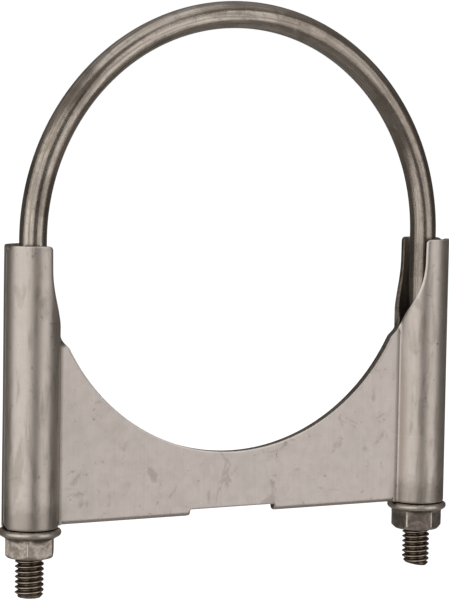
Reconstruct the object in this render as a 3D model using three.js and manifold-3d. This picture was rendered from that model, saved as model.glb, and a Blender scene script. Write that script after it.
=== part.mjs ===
// U-bolt pipe clamp for a 4 1/2 in pipe: a bent rod with two threaded legs, a folded sheet saddle whose
// ends are formed into sleeves around the legs, and a flange nut on each leg.
// Millimetres, +Z towards the crown of the rod, X from leg to leg, Y along the pipe.
// The origin is on the axis of a pipe that sits in the saddle, midway through the saddle's thickness.

import * as THREE from 'three';
import { mergeVertices } from 'three/addons/utils/BufferGeometryUtils.js';
import Module from 'manifold-3d';

// The pipe
const PIPE_R = 57.15;

// The thread, 5/16-18 UNC. It is rolled, so its crests stand above the smooth rod.
const THREAD_R = 3.93;
const PITCH = 25.4 / 18;
const ROOT_R = THREAD_R - 0.613 * PITCH;

// The bent rod
const ROD_R = 3.72;
const LEG_X = 61.1;
const CROWN_CENTRE_Z = 2.8;
const LEG_END_Z = -93.7;
const THREAD_LENGTH = 32;
const TAPER_LENGTH = 0.9;
const STUD_TOP_Z = LEG_END_Z + THREAD_LENGTH - TAPER_LENGTH / 3;
const END_CHAMFER = 0.9;
const ROD_SIDES = 20;
const CROWN_STEPS = 44;
const THREAD_STEPS_PER_TURN = 14;

// The folded sheet saddle
const SHEET = 1.35;
const SLEEVE_X = 61.1;
const SLEEVE_R = 7.65;
const SLEEVE_TOP = 1.4;
const SADDLE_BOTTOM = -74.6;
const BEND_R = 0.9;
const SEAM_HALF_GAP = 0.15;
const SEAM_CORNER_TOP = 3.2;
const SEAM_CORNER_BOTTOM = 2.3;
const SEAM_CORNER_EASE = 1.04;
const SHOULDER_X = 50.6;
const SHOULDER_RISE = 1.7;
const SHOULDER_RUN = 1.8;
const LIP_R = 24;
const LIP_SWEEP_DEG = 34;
const LIP_BEYOND_BEND = 8.3;
const LIP_STRAIGHT_Z = -4.5;
const LIP_CORNER_R = 1.2;
const LIP_LEAN = 0.1;
const FOLD_END_X = 52.3;
const NOTCH_HALF_WIDTH = 13.3;
const NOTCH_TOP = -72.75;
const LAYER_OVERLAP = 0.02;

// The flange nuts: 1/2 in across the flats
const ACROSS_FLATS = 12.7;
const NUT_HEIGHT = 7.8;
const NUT_TOP_Z = SADDLE_BOTTOM - 0.3;
const NUT_BORE_R = THREAD_R + 0.33;
const BORE_MOUTH = 1.5;
const HEX_TOP = 2;
const HEX_CHAMFER = 1;
const HEX_END_ROUND = 0.35;
const FLANGE_R = 8.5;
const FLANGE_DEPTH = 2.9;
// The flange's rim, as [how far inside FLANGE_R, depth below the bearing face]
const FLANGE_RIM = [[0.7, 0], [0.15, 0.3], [0, 0.9], [0.15, 1.5], [0.5, 1.8]];
const NUT_SEGMENTS = 36;
const NUT_TURN_DEG = { left: 3, right: 36 };

const wasm = await Module();
wasm.setup();

// ---------------------------------------------------------------- solids from meshes

function signedVolume(position, index) {
  const [a, b, c] = [new THREE.Vector3(), new THREE.Vector3(), new THREE.Vector3()];
  let volume = 0;
  for (let i = 0; i < index.length; i += 3) {
    a.fromBufferAttribute(position, index[i]);
    b.fromBufferAttribute(position, index[i + 1]);
    c.fromBufferAttribute(position, index[i + 2]);
    volume += a.dot(b.cross(c)) / 6;
  }
  return volume;
}

// A closed mesh as a solid, with its faces turned outwards.
function toSolid(geometry) {
  const bare = geometry.clone();
  bare.deleteAttribute('normal');
  bare.deleteAttribute('uv');
  const merged = mergeVertices(bare, 1e-4);
  const vertProperties = new Float32Array(merged.attributes.position.array);
  const triVerts = new Uint32Array(merged.index.array);
  if (signedVolume(merged.attributes.position, triVerts) < 0) {
    triVerts.reverse();
  }
  return new wasm.Manifold(new wasm.Mesh({ numProp: 3, vertProperties, triVerts }));
}

function toGeometry(solid) {
  const mesh = solid.getMesh();
  const geometry = new THREE.BufferGeometry();
  geometry.setAttribute('position', new THREE.BufferAttribute(mesh.vertProperties, 3));
  geometry.setIndex(new THREE.BufferAttribute(mesh.triVerts, 1));
  geometry.computeVertexNormals();
  return geometry;
}

// Skins a row of rings, each with the same number of points, and closes both ends.
function loft(rings) {
  const count = rings[0].length;
  const index = [];
  for (let i = 0; i < rings.length - 1; i += 1) {
    for (let j = 0; j < count; j += 1) {
      const a = i * count + j;
      const b = i * count + ((j + 1) % count);
      index.push(a, b, b + count, a, b + count, a + count);
    }
  }
  const last = (rings.length - 1) * count;
  for (let j = 1; j < count - 1; j += 1) {
    index.push(0, j + 1, j, last, last + j, last + j + 1);
  }
  const geometry = new THREE.BufferGeometry();
  geometry.setFromPoints(rings.flat());
  geometry.setIndex(index);
  return geometry;
}

function boxSolid(low, high) {
  const size = new THREE.Vector3().subVectors(high, low);
  const middle = new THREE.Vector3().addVectors(low, high).multiplyScalar(0.5);
  const geometry = new THREE.BoxGeometry(size.x, size.y, size.z);
  return toSolid(geometry.translate(middle.x, middle.y, middle.z));
}

// A lathe about Z: profile points are [radius, height].
function latheSolid(profile, segments) {
  const points = profile.map(([radius, height]) => new THREE.Vector2(radius, height));
  return toSolid(new THREE.LatheGeometry(points, segments).rotateX(Math.PI / 2));
}

// ---------------------------------------------------------------- the saddle

// The middle of the front layer seen from above, by distance s along the sheet from the centre line:
// flat, then a bend away from the web, then most of a half circle round the leg to the outer seam.
const midR = SLEEVE_R - SHEET / 2;
const bendMidR = BEND_R + SHEET / 2;
const bendCentreY = SHEET + BEND_R;
const bendReach = Math.sqrt((SLEEVE_R + BEND_R) ** 2 - bendCentreY ** 2);
const bendX = SLEEVE_X - bendReach;
const bendSweep = Math.atan2(bendReach, bendCentreY);
const bendEndS = bendX + bendMidR * bendSweep;
const wrapStart = Math.PI / 2 + bendSweep;
const wrapEnd = Math.asin(SEAM_HALF_GAP / midR);
const seamS = bendEndS + midR * (wrapStart - wrapEnd);

function sheetSection(s) {
  if (s <= bendX) {
    return { x: s, y: -SHEET / 2, inwardX: 0, inwardY: 1 };
  }
  if (s <= bendEndS) {
    const turn = (s - bendX) / bendMidR;
    return {
      x: bendX + bendMidR * Math.sin(turn),
      y: -bendCentreY + bendMidR * Math.cos(turn),
      inwardX: Math.sin(turn),
      inwardY: Math.cos(turn),
    };
  }
  const angle = wrapStart - (s - bendEndS) / midR;
  return {
    x: SLEEVE_X + midR * Math.cos(angle),
    y: -midR * Math.sin(angle),
    inwardX: -Math.cos(angle),
    inwardY: Math.sin(angle),
  };
}

// The blank's top edge: the pipe seat, a short shoulder, a slope that curves up into a lip beside the
// leg, a small corner, the sleeve's flat rim and a rounded corner at the seam.
const shoulderS = SHOULDER_X + SHOULDER_RUN;
const shoulderZ = -Math.sqrt(PIPE_R ** 2 - SHOULDER_X ** 2);
const slopeTurn = THREE.MathUtils.degToRad(LIP_SWEEP_DEG);
const lipS = bendX + LIP_BEYOND_BEND;
const slopeEndS = lipS - LIP_R * (1 - Math.cos(slopeTurn));
const slopeEndZ = LIP_STRAIGHT_Z - LIP_R * Math.sin(slopeTurn);
const lipCornerS = lipS + LIP_LEAN;
const rimStartS = lipCornerS + LIP_CORNER_R;

function quarterDrop(distance, radius) {
  const reach = Math.min(Math.max(distance, 0), radius);
  return radius - Math.sqrt(radius ** 2 - reach ** 2);
}

function topEdge(s) {
  if (s <= SHOULDER_X) {
    return -Math.sqrt(PIPE_R ** 2 - s ** 2);
  }
  if (s <= shoulderS) {
    return shoulderZ + (SHOULDER_RISE * (s - SHOULDER_X)) / SHOULDER_RUN;
  }
  if (s <= slopeEndS) {
    const slopeStartZ = shoulderZ + SHOULDER_RISE;
    const share = (s - shoulderS) / (slopeEndS - shoulderS);
    return slopeStartZ + share * (slopeEndZ - slopeStartZ);
  }
  if (s <= lipS) {
    return LIP_STRAIGHT_Z - Math.sqrt(LIP_R ** 2 - (LIP_R - lipS + s) ** 2);
  }
  if (s <= lipCornerS) {
    const straight = SLEEVE_TOP - LIP_CORNER_R - LIP_STRAIGHT_Z;
    return LIP_STRAIGHT_Z + (straight * (s - lipS)) / LIP_LEAN;
  }
  const lipCorner = quarterDrop(rimStartS - s, LIP_CORNER_R);
  const seamCorner = quarterDrop(s - seamS + SEAM_CORNER_TOP, SEAM_CORNER_TOP * SEAM_CORNER_EASE);
  return SLEEVE_TOP - lipCorner - seamCorner;
}

function bottomEdge(s) {
  return SADDLE_BOTTOM + quarterDrop(s - seamS + SEAM_CORNER_BOTTOM, SEAM_CORNER_BOTTOM * SEAM_CORNER_EASE);
}

function spaced(from, to, steps) {
  return Array.from({ length: steps + 1 }, (_, i) => from + ((to - from) * i) / steps);
}

// Where the sheet is sampled on one side of the centre line: closer together where it bends and
// where its edge is steep.
function sheetStations() {
  const seatAngle = Math.asin(SHOULDER_X / PIPE_R);
  const seat = spaced(0, seatAngle, 22).map((angle) => PIPE_R * Math.sin(angle));
  const slope = spaced(shoulderS, slopeEndS, 6).slice(0, -1);
  const lip = spaced(slopeEndS, lipS, 8);
  const corner = spaced(0, Math.PI / 2, 4).map((a) => rimStartS - LIP_CORNER_R * Math.cos(a));
  const rim = spaced(rimStartS, seamS - SEAM_CORNER_TOP, 11).slice(1);
  const seam = spaced(seamS - SEAM_CORNER_TOP, seamS, 7).slice(1);
  return [...seat, ...slope, ...lip, ...corner, ...rim, ...seam];
}

// One layer of sheet from seam to seam. ySign puts it in front of or behind the middle plane.
function sheetLayer(ySign) {
  const half = sheetStations();
  const stations = [...half.slice(1).reverse().map((s) => -s), ...half];
  const rings = stations.map((s) => {
    const reach = Math.abs(s);
    const section = sheetSection(reach);
    const side = s < 0 ? -1 : 1;
    const at = (depth, z) => new THREE.Vector3(
      side * (section.x + section.inwardX * depth),
      ySign * -(section.y + section.inwardY * depth),
      z,
    );
    const inner = SHEET / 2 + (reach <= bendX ? LAYER_OVERLAP : 0);
    const top = topEdge(reach);
    const bottom = bottomEdge(reach);
    return [at(-SHEET / 2, bottom), at(-SHEET / 2, top), at(inner, top), at(inner, bottom)];
  });
  return toSolid(loft(rings));
}

function saddleGeometry() {
  const foldZ = SADDLE_BOTTOM + SHEET;
  const foldLength = 2 * FOLD_END_X;
  const fold = new THREE.CylinderGeometry(SHEET, SHEET, foldLength, 24).rotateZ(Math.PI / 2);
  const belowFold = boxSolid(
    new THREE.Vector3(-FOLD_END_X, -2 * SHEET, SADDLE_BOTTOM - 1),
    new THREE.Vector3(FOLD_END_X, 2 * SHEET, foldZ),
  );
  const notch = boxSolid(
    new THREE.Vector3(-NOTCH_HALF_WIDTH, -2 * SHEET, SADDLE_BOTTOM - 1),
    new THREE.Vector3(NOTCH_HALF_WIDTH, 2 * SHEET, NOTCH_TOP),
  );
  const layers = sheetLayer(1).add(sheetLayer(-1));
  const folded = layers.subtract(belowFold).add(toSolid(fold.translate(0, 0, foldZ)));
  return toGeometry(folded.subtract(notch));
}

// ---------------------------------------------------------------- the bent rod

function rodRing(x, z, tangentAngle, radius) {
  return Array.from({ length: ROD_SIDES }, (_, k) => {
    const angle = (2 * Math.PI * k) / ROD_SIDES;
    const out = radius * Math.cos(angle);
    return new THREE.Vector3(
      x + out * Math.cos(tangentAngle),
      radius * Math.sin(angle),
      z + out * Math.sin(tangentAngle),
    );
  });
}

// The smooth rod: the crown and both shanks, each shank tapered down to the thread's root.
function smoothRod() {
  const shankZ = LEG_END_Z + THREAD_LENGTH;
  const taper = [
    [shankZ - TAPER_LENGTH, ROOT_R - 0.1],
    [shankZ, ROD_R],
  ];
  const right = taper.map(([z, radius]) => rodRing(LEG_X, z, 0, radius));
  const crown = spaced(0, Math.PI, CROWN_STEPS).map((angle) => rodRing(
    LEG_X * Math.cos(angle),
    CROWN_CENTRE_Z + LEG_X * Math.sin(angle),
    angle,
    ROD_R,
  ));
  const left = taper.map(([z, radius]) => rodRing(-LEG_X, z, Math.PI, radius)).reverse();
  return toSolid(loft([...right, ...crown, ...left]));
}

// One turn of the thread's outline, as [share of the pitch, radius]: root, flank, crest, flank.
const THREAD_OUTLINE = [
  [0, ROOT_R],
  [0.4375, THREAD_R],
  [0.5625, THREAD_R],
  [1, ROOT_R],
].map(([share, radius]) => [0.125 + share * 0.75, radius]);

// A right-hand threaded stud on one leg's axis. Each row of points is one point of the outline
// carried round the axis, so a row's end joins the start of the row one pitch further on.
function threadedStud(legX) {
  const steps = THREAD_STEPS_PER_TURN;
  const perTurn = THREAD_OUTLINE.length;
  const rows = perTurn * Math.ceil(THREAD_LENGTH / PITCH + 1);
  const points = [];
  const addPoint = (row, step) => {
    const [share, radius] = THREAD_OUTLINE[row % perTurn];
    const angle = (2 * Math.PI * step) / steps;
    const climb = Math.floor(row / perTurn) + share + step / steps;
    points.push(new THREE.Vector3(
      legX + radius * Math.cos(angle),
      radius * Math.sin(angle),
      LEG_END_Z + PITCH * (climb - 2),
    ));
  };
  for (let row = 0; row <= rows; row += 1) {
    for (let step = 0; step < steps; step += 1) {
      addPoint(row, step);
    }
  }
  for (let row = rows + 1; row <= rows + perTurn; row += 1) {
    addPoint(row, 0);
  }
  const at = (row, step) => {
    if (step === steps) {
      return at(row + perTurn, 0);
    }
    return row <= rows ? row * steps + step : (rows + 1) * steps + row - rows - 1;
  };
  const index = [];
  for (let row = 0; row < rows; row += 1) {
    for (let step = 0; step < steps; step += 1) {
      const a = at(row, step);
      const b = at(row, step + 1);
      const c = at(row + 1, step + 1);
      const d = at(row + 1, step);
      index.push(a, b, c, a, c, d);
    }
  }
  const rim = (row) => [
    ...Array.from({ length: steps }, (_, step) => at(row, step)),
    ...Array.from({ length: perTurn }, (_, k) => at(row + perTurn - k, 0)),
  ];
  const close = (row, flip) => {
    const loop = rim(row);
    const centre = points.length;
    const height = points[at(row, 0)].z + PITCH / 2;
    points.push(new THREE.Vector3(legX, 0, height));
    loop.forEach((a, k) => {
      const b = loop[(k + 1) % loop.length];
      index.push(...(flip ? [centre, b, a] : [centre, a, b]));
    });
  };
  close(0, true);
  close(rows, false);
  const geometry = new THREE.BufferGeometry();
  geometry.setFromPoints(points);
  geometry.setIndex(index);
  return toSolid(geometry);
}

// The room one stud may fill: its chamfered lower end, and its upper end just inside the shank.
function studEnvelope(legX) {
  const clearR = THREAD_R + 1;
  const chamferR = THREAD_R - END_CHAMFER;
  const profile = [
    [0, LEG_END_Z],
    [chamferR, LEG_END_Z],
    [clearR, LEG_END_Z + clearR - chamferR],
    [clearR, STUD_TOP_Z],
    [0, STUD_TOP_Z],
  ];
  return latheSolid(profile, ROD_SIDES).translate([legX, 0, 0]);
}

function rodGeometry() {
  const studs = [-LEG_X, LEG_X].map((x) => threadedStud(x).intersect(studEnvelope(x)));
  return toGeometry(studs.reduce((solid, stud) => solid.add(stud), smoothRod()));
}

// ---------------------------------------------------------------- the nuts

// A flange nut with its bearing face up, at height 0, and its hexagon below.
function nutGeometry() {
  const apothem = ACROSS_FLATS / 2;
  const cornerR = ACROSS_FLATS / Math.sqrt(3);
  const clearR = cornerR + 0.1;
  const corners = spaced(0, 5, 5).map((k) => {
    const angle = (k * Math.PI) / 3;
    return new THREE.Vector2(cornerR * Math.cos(angle), cornerR * Math.sin(angle));
  });
  const hexOptions = { depth: NUT_HEIGHT - HEX_TOP, bevelEnabled: false };
  const hexagon = new THREE.ExtrudeGeometry(new THREE.Shape(corners), hexOptions);
  const roundedEnd = latheSolid([
    [0, -NUT_HEIGHT],
    [apothem - HEX_END_ROUND, -NUT_HEIGHT],
    [apothem + HEX_END_ROUND, -NUT_HEIGHT + 0.4 * HEX_CHAMFER],
    [clearR, -NUT_HEIGHT + HEX_CHAMFER],
    [clearR, 0],
    [0, 0],
  ], NUT_SEGMENTS);
  const flange = latheSolid([
    [0, 0],
    ...FLANGE_RIM.map(([inset, depth]) => [FLANGE_R - inset, -depth]),
    [apothem - 0.15, -FLANGE_DEPTH],
    [0, -FLANGE_DEPTH],
  ], NUT_SEGMENTS);
  const bore = latheSolid([
    [0, -NUT_HEIGHT - 1],
    [NUT_BORE_R + BORE_MOUTH, -NUT_HEIGHT - 1],
    [NUT_BORE_R, -NUT_HEIGHT - 1 + BORE_MOUTH],
    [NUT_BORE_R, 1],
    [0, 1],
  ], NUT_SEGMENTS);
  const hexSolid = toSolid(hexagon.translate(0, 0, -NUT_HEIGHT)).intersect(roundedEnd);
  return toGeometry(hexSolid.add(flange).subtract(bore));
}

// ---------------------------------------------------------------- materials and the assembly

const sheetSteel = new THREE.MeshStandardMaterial({
  color: 0xb5aba2, roughness: 0.42, metalness: 0.9,
});
const rodSteel = new THREE.MeshStandardMaterial({
  color: 0x857b72, roughness: 0.36, metalness: 0.9,
});
const nutSteel = new THREE.MeshStandardMaterial({
  color: 0x8d857d, roughness: 0.4, metalness: 0.9,
});

function namedMesh(name, geometry, material) {
  const mesh = new THREE.Mesh(geometry, material);
  mesh.name = name;
  return mesh;
}

const group = new THREE.Group();
group.add(namedMesh('saddle', saddleGeometry(), sheetSteel));
group.add(namedMesh('u_bolt', rodGeometry(), rodSteel));

for (const [side, sign] of [['left', -1], ['right', 1]]) {
  const nut = namedMesh(`nut_${side}`, nutGeometry(), nutSteel);
  nut.position.set(sign * LEG_X, 0, NUT_TOP_Z);
  nut.rotation.z = THREE.MathUtils.degToRad(NUT_TURN_DEG[side]);
  group.add(nut);
}

export default group;
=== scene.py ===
"""The looks of a U-bolt pipe clamp: a folded sheet saddle, a bent rod with two threaded legs and
two flange nuts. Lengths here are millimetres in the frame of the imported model, and meshes are made
in metres."""

import math

import bmesh
import bpy
import numpy as np
from mathutils import Matrix, Vector, noise
from mathutils.geometry import delaunay_2d_cdt


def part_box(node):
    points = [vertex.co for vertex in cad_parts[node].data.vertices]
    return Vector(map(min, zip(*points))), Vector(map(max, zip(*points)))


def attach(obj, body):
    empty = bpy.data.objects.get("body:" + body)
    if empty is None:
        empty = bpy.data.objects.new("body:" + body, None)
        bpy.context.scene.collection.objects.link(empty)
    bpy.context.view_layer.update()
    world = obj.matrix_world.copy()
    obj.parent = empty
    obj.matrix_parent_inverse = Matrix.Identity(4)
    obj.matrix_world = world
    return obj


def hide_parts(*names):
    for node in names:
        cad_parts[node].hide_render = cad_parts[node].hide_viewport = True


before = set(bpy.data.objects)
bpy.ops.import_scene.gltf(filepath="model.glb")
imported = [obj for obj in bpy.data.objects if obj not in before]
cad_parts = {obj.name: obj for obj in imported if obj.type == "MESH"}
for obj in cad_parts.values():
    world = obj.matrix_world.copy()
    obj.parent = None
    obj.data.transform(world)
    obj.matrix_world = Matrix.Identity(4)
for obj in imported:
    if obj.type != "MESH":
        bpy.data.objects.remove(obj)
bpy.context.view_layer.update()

MM = 0.001


def cad_box(node):
    """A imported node's lowest and highest corners in millimetres."""
    return tuple(np.array(corner_shade_spot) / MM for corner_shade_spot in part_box(node))


# ------------------------------------------------------------------ sizes

SADDLE_LOW, SADDLE_HIGH = cad_box("saddle")
ROD_LOW, ROD_HIGH = cad_box("u_bolt")
NUT_LOW, NUT_HIGH = cad_box("nut_right")

# The saddle
SHEET = 1.35
SLEEVE_R = SADDLE_HIGH[1]
SLEEVE_X = SADDLE_HIGH[0] - SLEEVE_R
SLEEVE_TOP = SADDLE_HIGH[2]
SADDLE_BOTTOM = SADDLE_LOW[2]
PIPE_R = 57.15
BEND_R = 0.9
SEAM_HALF_GAP = 0.1
SEAM_CORNER_TOP = 3.1
SEAM_CORNER_BOTTOM = 2.2
SHOULDER_X = 50.6
SHOULDER_RUN = 1.8
SHOULDER_RISE = 1.7
LIP_R = 24.0
LIP_SWEEP = math.radians(34)
LIP_BEYOND_BEND = 8.3
LIP_STRAIGHT_Z = -4.5
LIP_LEAN = 0.1
LIP_CORNER_R = 1.2
SEAT_CORNER_R = 0.8
SHOULDER_CORNER_R = 1.2
FOLD_END_X = 52.3
FOLD_CORNER_R = 0.2
SLIT = 0.08
SLIT_RISE = 0.05
NOTCH_HALF_WIDTH = 13.3
NOTCH_TOP = -72.75
NOTCH_CORNER_R = 0.35
LAYER_GAP = 0.03

# The sheet's waver from forming, as (how far it strays, waves a millimetre along the sheet, waves a
# millimetre up it, layer of the noise), and how soon it sets in beyond the bend into the sleeve
WAVERS = [(0.07, 0.045, 0.03, 3.7), (0.018, 0.16, 0.05, 9.1)]
WAVER_EASE = 3

# The sheet's cut edge: rolled over on the outer face, square with a small burr break on the inner one.
# Each roll is its reach along the sheet and its depth. The seat and lips are rolled over most, and
# where two edges meet, at the seam and the fold's ends, they are pressed nearly flush.
WIDE_ROLL = np.array((0.75, 0.2))
PLAIN_ROLL = np.array((0.45, 0.14))
SEAM_ROLL = np.array((0.45, 0.03))
SLIT_ROLL = np.array((0.15, 0.03))
# The roll's outline: share of the reach against share of the depth
ROLL_PROFILE = [(0.0, 0.0), (0.15, 0.06), (0.5, 0.42), (0.85, 0.82), (1.0, 1.0)]
EDGE_BREAK = 0.1
EDGE_BREAK_POINTS = 3
# Where each roll applies: how near the seam and the slit, how high above the fold, and where the wide
# roll of the seat and lips gives way to the plain one
SEAM_MARGIN = 0.6
SLIT_MARGIN = 0.5
LOW_EDGE_HEIGHT = 4
WIDE_ROLL_BEYOND_LIP = 5
WIDE_ROLL_FADE = 4

# How closely the sheet is sampled where it is flat, where it is bent and along its cut edge
FLAT_STEP = 1.1
BENT_STEP = 0.38
RIM_STEP = 0.4
ARC_STEP = 0.2
SEAT_POINTS = 60
LIP_POINTS = 30
FOLD_ROWS = 7
# How far the inner points keep from the cut edge, the fold, the line where the layers join, the notch
# and the slit
GRID_CLEARANCE = 0.3
JOIN_CLEARANCE = 0.01
NOTCH_CLEARANCE = 1.5
SLIT_CLEARANCE = 1.2
DISTANCE_BATCHES = 20
TRIANGLES_INSIDE = 1
TRIANGLE_TOLERANCE = 1e-5

# How near vertices are merged, and the share of that below which an edge has collapsed
WELD_DISTANCE = 0.0005
SADDLE_WELD_DISTANCE = 0.002
COLLAPSED_SHARE = 0.1

# The rod, and its rolled 5/16-18 UNC thread, whose crests stand above it
LEG_X = (NUT_LOW[0] + NUT_HIGH[0]) / 2
THREAD_R = ROD_HIGH[0] - LEG_X
CREST_RISE = 0.21
ROD_R = THREAD_R - CREST_RISE
LEG_END_Z = ROD_LOW[2]
CROWN_CENTRE_Z = ROD_HIGH[2] - LEG_X - ROD_R
PITCH = 25.4 / 18
THREAD_DEPTH = 0.613 * PITCH
THREAD_LENGTH = 32.0
THREAD_TOP_Z = LEG_END_Z + THREAD_LENGTH
THREAD_FADE = 1.6 * PITCH
# Turns made beyond each end of the thread, which are pressed flat against that end
SPARE_TURNS = 2
END_CHAMFER = 0.9
END_CHAMFER_SLOPE = 0.9
END_RINGS = (1.0, 0.9, 0.5)
END_SUNK = 0.35
LEFT_END_SLOPE = 0.01
RIGHT_END_SLOPE = 0.12
END_SLOPE_BEARING = math.radians(-28)
ROD_SIDES = 64
SHANK_STEP = 2
CROWN_STEPS = 150

# The nuts
NUT_TOP_Z = NUT_HIGH[2]
NUT_HEIGHT = NUT_HIGH[2] - NUT_LOW[2]
FLANGE_R = 8.5
APOTHEM = 6.35
NUT_BORE_R = THREAD_R + 0.14
NUT_TURN_DEG = {"left": 3, "right": 36}
NUT_SIDES = 216


# ------------------------------------------------------------------ mesh helpers

def mesh_object(name, vertices, faces, materials, face_materials):
    """An object from vertices in millimetres, with the number of each face's material."""
    mesh = bpy.data.meshes.new(name)
    mesh.from_pydata([tuple(v) for v in np.asarray(vertices) * MM], [], faces)
    for material in materials:
        mesh.materials.append(material)
    mesh.polygons.foreach_set("material_index", face_materials)
    piece = bpy.data.objects.new(name, mesh)
    bpy.context.scene.collection.objects.link(piece)
    return piece


def add_attribute(piece, name, values):
    """Stores one vector per vertex for the materials to read."""
    attribute = piece.data.attributes.new(name, "FLOAT_VECTOR", "POINT")
    attribute.data.foreach_set("vector", np.asarray(values, np.float32).ravel())


def weld(piece, distance=WELD_DISTANCE):
    """Merges vertices that lie together, drops collapsed faces, turns all faces outwards and shades
    them smooth."""
    bm = bmesh.new()
    bm.from_mesh(piece.data)
    bmesh.ops.remove_doubles(bm, verts=bm.verts, dist=distance * MM)
    bmesh.ops.dissolve_degenerate(bm, edges=bm.edges, dist=distance * MM * COLLAPSED_SHARE)
    bmesh.ops.recalc_face_normals(bm, faces=bm.faces)
    for face in bm.faces:
        face.smooth = True
    bm.to_mesh(piece.data)
    bm.free()
    piece.data.update()


def finish_piece(piece, body, node):
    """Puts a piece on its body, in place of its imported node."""
    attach(piece, body)
    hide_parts(node)


# ------------------------------------------------------------------ the saddle

MID_R = SLEEVE_R - SHEET / 2
BEND_MID_R = BEND_R + SHEET / 2
BEND_CENTRE_Y = SHEET + BEND_R
BEND_REACH = math.sqrt((SLEEVE_R + BEND_R) ** 2 - BEND_CENTRE_Y ** 2)
BEND_X = SLEEVE_X - BEND_REACH
BEND_SWEEP = math.atan2(BEND_REACH, BEND_CENTRE_Y)
BEND_END_S = BEND_X + BEND_MID_R * BEND_SWEEP
WRAP_START = math.pi / 2 + BEND_SWEEP
WRAP_END = math.asin(SEAM_HALF_GAP / MID_R)
SEAM_S = BEND_END_S + MID_R * (WRAP_START - WRAP_END)
FOLD_Z = SADDLE_BOTTOM + SHEET
FOLD_MID_R = SHEET / 2
WELD_Z = FOLD_Z - FOLD_MID_R * math.pi / 2
LIP_S = BEND_X + LIP_BEYOND_BEND
SHEET_FACE, CUT_FACE = 0, 1
IS_CUT = 5


def sheet_section(s):
    """The middle of the front layer seen from above, at distance s along the sheet: x, y and the
    direction inwards, away from its outer face. Flat, then a bend, then most of a half circle round
    to the seam."""
    if s <= BEND_X:
        return s, -SHEET / 2, 0.0, 1.0
    if s <= BEND_END_S:
        turn = (s - BEND_X) / BEND_MID_R
        x = BEND_X + BEND_MID_R * math.sin(turn)
        y = -BEND_CENTRE_Y + BEND_MID_R * math.cos(turn)
        return x, y, math.sin(turn), math.cos(turn)
    angle = WRAP_START - (s - BEND_END_S) / MID_R
    x = SLEEVE_X + MID_R * math.cos(angle)
    return x, -MID_R * math.sin(angle), -math.cos(angle), math.sin(angle)


def waver(s, z):
    """The sheet's slight unevenness from forming, in millimetres."""
    return sum(
        stray * noise.noise(Vector((s * along, z * up, layer)))
        for stray, along, up, layer in WAVERS
    )


def place_on_sheet(s, z, depth):
    """A point of the front layer: s along the sheet, z its height before the bottom fold is made,
    depth outwards from the sheet's middle."""
    reach = abs(s)
    side = -1.0 if s < 0 else 1.0
    if z < FOLD_Z and reach < FOLD_END_X:
        turn = (FOLD_Z - z) / FOLD_MID_R
        radius = FOLD_MID_R + depth
        return s, -radius * math.cos(turn), FOLD_Z - radius * math.sin(turn)
    x, y, inward_x, inward_y = sheet_section(reach)
    if reach > BEND_X:
        depth += waver(s, z) * min((reach - BEND_X) / WAVER_EASE, 1.0)
    return side * (x - inward_x * depth), y - inward_y * depth, z


def rounded(corners):
    """A path through corners given as (s, z, radius), each corner turned into an arc."""
    path = []
    for i, (s, z, radius) in enumerate(corners):
        here = np.array((s, z))
        if radius <= 0 or i in (0, len(corners) - 1):
            path.append(here)
            continue
        before = np.array(corners[i - 1][:2]) - here
        after = np.array(corners[i + 1][:2]) - here
        before = before / np.linalg.norm(before)
        after = after / np.linalg.norm(after)
        half_angle = math.acos(np.clip(before @ after, -1, 1)) / 2
        middle = before + after
        centre = here + middle / np.linalg.norm(middle) * radius / math.sin(half_angle)
        start = here + before * radius / math.tan(half_angle) - centre
        end = here + after * radius / math.tan(half_angle) - centre
        sweep = math.pi - 2 * half_angle
        turns = max(2, round(sweep * radius / ARC_STEP))
        for k in range(turns + 1):
            a = k / turns
            spoke = start * math.sin((1 - a) * sweep) + end * math.sin(a * sweep)
            path.append(centre + spoke / math.sin(sweep))
    return path


def resampled(path, step):
    """The same path with points about a step apart."""
    path = np.array(path)
    legs = np.linalg.norm(np.diff(path, axis=0), axis=1)
    along = np.concatenate([[0], np.cumsum(legs)])
    wanted = np.linspace(0, along[-1], max(2, round(along[-1] / step)) + 1)
    return np.stack([np.interp(wanted, along, path[:, i]) for i in (0, 1)], axis=1)


def half_outline():
    """The blank's cut edge from the seat's middle round one side to the fold's end."""
    seat_end = math.asin(SHOULDER_X / PIPE_R)
    seat = [
        (PIPE_R * math.sin(a), -PIPE_R * math.cos(a), 0)
        for a in np.linspace(0, seat_end, SEAT_POINTS)
    ]
    shoulder_z = seat[-1][1]
    seat[-1] = (*seat[-1][:2], SEAT_CORNER_R)
    shoulder_s = SHOULDER_X + SHOULDER_RUN
    lip_centre_s = LIP_S - LIP_R
    lip = [
        (lip_centre_s + LIP_R * math.cos(a), LIP_STRAIGHT_Z - LIP_R * math.sin(a), 0)
        for a in np.linspace(LIP_SWEEP, 0, LIP_POINTS)
    ]
    slit_top = FOLD_Z + SLIT_RISE
    return rounded([
        *seat,
        (shoulder_s, shoulder_z + SHOULDER_RISE, SHOULDER_CORNER_R),
        *lip,
        (LIP_S + LIP_LEAN, SLEEVE_TOP, LIP_CORNER_R),
        (SEAM_S, SLEEVE_TOP, SEAM_CORNER_TOP),
        (SEAM_S, SADDLE_BOTTOM, SEAM_CORNER_BOTTOM),
        (FOLD_END_X + SLIT, SADDLE_BOTTOM, FOLD_CORNER_R),
        (FOLD_END_X + SLIT, slit_top, 0),
        (FOLD_END_X, slit_top, 0),
        (FOLD_END_X, WELD_Z, 0),
    ])


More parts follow.
